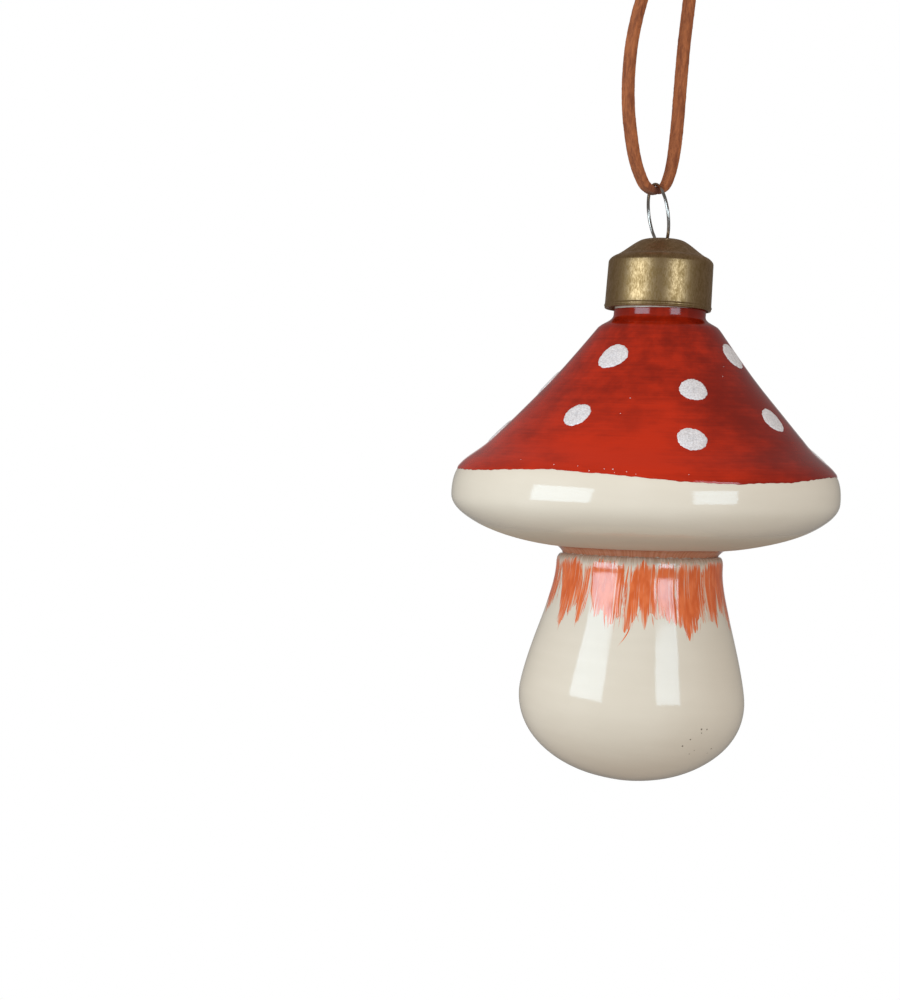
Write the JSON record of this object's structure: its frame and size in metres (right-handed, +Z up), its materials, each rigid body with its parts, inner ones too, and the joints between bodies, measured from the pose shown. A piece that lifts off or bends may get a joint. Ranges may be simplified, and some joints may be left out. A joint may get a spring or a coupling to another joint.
{
  "type": "glass mushroom ornament",
  "caption": "Hanging blown-glass mushroom with a dotted red cone, pale rounded brim and bulbous stem, metal cap, spring-wire loop and a knotted suede cord.",
  "frame": {"origin": "the hanging point: inside the top of the cord loop, under its knot", "axes": "+Z up, along the axis of the glass; +Y across the flat cord, in the plane of the wire loop; +X in the plane of the cord loop"},
  "size_m": [0.0798, 0.0798, 0.1938],
  "materials": {
    "cream_glass": "opaque cream, gloss",
    "red_lacquer": "brushed-on gloss lacquer",
    "orange_paint": "dry-brushed gloss paint",
    "glitter_paint": "fine glitter",
    "antique_brass": "antiqued, brushed",
    "spring_steel": "bright wire",
    "suede": "napped suede"
  },
  "bodies": {
    "cord": {"suede_cord": "suede", "cord_knot": "suede"},
    "hanger": {"metal_cap": "antique_brass", "hanger_wire": "spring_steel"},
    "glass": {"glass_body": "cream_glass", "cap_lacquer": "red_lacquer", "stem_brushwork": "orange_paint", "glitter_dot_01": "glitter_paint", "glitter_dot_02": "glitter_paint", "glitter_dot_03": "glitter_paint", "glitter_dot_04": "glitter_paint", "glitter_dot_05": "glitter_paint", "glitter_dot_06": "glitter_paint", "glitter_dot_07": "glitter_paint", "glitter_dot_08": "glitter_paint", "glitter_dot_09": "glitter_paint", "glitter_dot_10": "glitter_paint", "glitter_dot_11": "glitter_paint", "glitter_dot_12": "glitter_paint", "glitter_dot_13": "glitter_paint", "glitter_dot_14": "glitter_paint", "glitter_dot_15": "glitter_paint", "glitter_dot_16": "glitter_paint"}
  },
  "joints": [
    {"name": "ornament_swing", "type": "hinge", "parent": "cord", "child": "hanger", "pos_m": [-0.00274, 0, -0.05021], "axis": [0, 1, 0], "range_deg": [-75, 75]},
    {"name": "glass_turn", "type": "hinge", "parent": "hanger", "child": "glass", "pos_m": [0, 0, -0.07], "axis": [0, 0, 1], "continuous": true}
  ]
}
